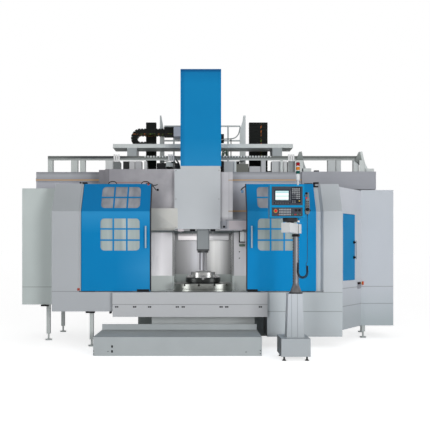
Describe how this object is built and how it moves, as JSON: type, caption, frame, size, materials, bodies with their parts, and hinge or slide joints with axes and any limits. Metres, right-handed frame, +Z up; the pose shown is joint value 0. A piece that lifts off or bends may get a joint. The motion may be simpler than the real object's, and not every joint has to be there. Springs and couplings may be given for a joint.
{
  "type": "vertical lathe",
  "caption": "Vertical lathe with round T-slot table and jaw chuck, cross rail, tall ram head, sliding windowed doors, cabinets and a pedestal control pendant",
  "frame": {"origin": "the table's axis at floor level, on the underside of the bed", "axes": "+X along the cross rail to the machine's right as the operator sees it, +Y to the back, +Z up"},
  "size_m": [6.358, 3.6647, 4.56],
  "materials": {
    "machine_grey": "satin machine enamel",
    "column_grey": "satin machine enamel",
    "rail_steel": "ground and wiped",
    "stainless": "mottled mill finish",
    "chamber_sheet": "brushed sheet",
    "panel_grey": "fine texture powder coat",
    "panel_cool": "fine texture powder coat",
    "blue_paint": "semi-gloss powder coat",
    "housing_silver": "satin silver enamel",
    "ground_steel": "ground",
    "dark_steel": "blackened",
    "table_steel": "turned",
    "chuck_steel": "blackened",
    "work_steel": "fine turned",
    "jaw_steel": "ground",
    "window": "laminated safety glass",
    "track_dark": "oiled",
    "fitting": "satin",
    "platform_top": "anti-slip paint",
    "beam_grey": "satin enamel",
    "chain_black": "moulded nylon",
    "pendant_grey": "satin enamel",
    "arm_grey": "satin enamel",
    "panel_dark": "textured film",
    "lamp": "clear and coloured lenses",
    "hand_grey": "moulded",
    "cord": "smooth sheath",
    "switch_red": "moulded"
  },
  "bodies": {
    "root": {"bed": "machine_grey", "column": "column_grey", "cross_rail": "rail_steel", "rail_cover": "stainless", "chamber_floor": "chamber_sheet", "table_collar": "fitting", "chamber_left_wall": "chamber_sheet", "chamber_right_wall": "chamber_sheet", "chamber_back_wall": "chamber_sheet", "front_skirt": "panel_grey", "door_track": "track_dark", "left_front_panel": "panel_grey", "right_front_panel": "panel_grey", "left_lower_panel": "panel_grey", "right_lower_cabinet": "panel_grey", "left_wing": "panel_grey", "right_side_panel": "panel_cool", "electrical_cabinet": "panel_cool", "support_legs": "panel_grey", "foot_platform": "platform_top", "service_beam": "beam_grey", "cable_trough": "beam_grey", "beam_brackets": "beam_grey", "chain_fins": "beam_grey", "service_rail": "beam_grey", "vertical_chains": "chain_black", "rail_top_boxes": "beam_grey", "pedestal_base": "pendant_grey", "pedestal_post": "arm_grey"},
    "saddle": {"saddle": "housing_silver", "saddle_shield_left": "stainless", "saddle_shield_right": "stainless", "ram_tower": "blue_paint", "drag_chain": "chain_black"},
    "ram": {"ram": "ground_steel", "tool_holder": "dark_steel", "boring_bar": "dark_steel"},
    "table": {"table": "table_steel", "chuck_body": "chuck_steel", "workpiece": "work_steel"},
    "jaw_right": {"jaw_right": "jaw_steel"},
    "jaw_back": {"jaw_back": "jaw_steel"},
    "jaw_left": {"jaw_left": "jaw_steel"},
    "jaw_front": {"jaw_front": "jaw_steel"},
    "left_door": {"left_door": "blue_paint", "left_door_glass": "window", "left_door_fittings": "fitting"},
    "right_door": {"right_door": "blue_paint", "right_door_glass": "window", "right_door_fittings": "fitting"},
    "side_door": {"side_door": "blue_paint"},
    "pendant": {"pendant_arm": "arm_grey", "control_box": "blue_paint", "operator_panel": "panel_dark", "stack_light": "lamp", "hand_unit": "hand_grey", "cord_lead": "cord", "cord_curl": "cord"},
    "main_switch": {"main_switch": "switch_red"}
  },
  "joints": [
    {"name": "saddle_slide", "type": "slide", "parent": "root", "child": "saddle", "axis": [1, 0, 0], "range_m": [-0.4, 0.4]},
    {"name": "ram_slide", "type": "slide", "parent": "saddle", "child": "ram", "axis": [0, 0, 1], "range_m": [0, 0.33]},
    {"name": "table_spin", "type": "hinge", "parent": "root", "child": "table", "pos_m": [0, 0, 0.9], "axis": [0, 0, 1], "continuous": true},
    {"name": "jaw_right_slide", "type": "slide", "parent": "table", "child": "jaw_right", "axis": [1, 0, 0], "range_m": [0, 0.06]},
    {"name": "jaw_back_slide", "type": "slide", "parent": "table", "child": "jaw_back", "axis": [0, 1, 0], "range_m": [0, 0.06]},
    {"name": "jaw_left_slide", "type": "slide", "parent": "table", "child": "jaw_left", "axis": [-1, 0, 0], "range_m": [0, 0.06]},
    {"name": "jaw_front_slide", "type": "slide", "parent": "table", "child": "jaw_front", "axis": [0, -1, 0], "range_m": [0, 0.06]},
    {"name": "left_door_slide", "type": "slide", "parent": "root", "child": "left_door", "axis": [1, 0, 0], "range_m": [0, 0.749]},
    {"name": "right_door_slide", "type": "slide", "parent": "root", "child": "right_door", "axis": [-1, 0, 0], "range_m": [0, 0.749]},
    {"name": "side_door_hinge", "type": "hinge", "parent": "root", "child": "side_door", "pos_m": [2.29777, -0.51628, 1.5], "axis": [0, 0, -1], "range_deg": [0, 100]},
    {"name": "pendant_swing", "type": "hinge", "parent": "root", "child": "pendant", "pos_m": [1.3, -1.87, 1.76], "axis": [0, 0, 1], "range_deg": [-60, 60]},
    {"name": "main_switch_turn", "type": "hinge", "parent": "root", "child": "main_switch", "pos_m": [2.767, 0.07, 0.952], "axis": [0, 1, 0], "range_deg": [0, 90]}
  ],
  "couplings": [
    {"joint": "jaw_back_slide", "follows": "jaw_right_slide", "ratio": 1},
    {"joint": "jaw_left_slide", "follows": "jaw_right_slide", "ratio": 1},
    {"joint": "jaw_front_slide", "follows": "jaw_right_slide", "ratio": 1}
  ]
}
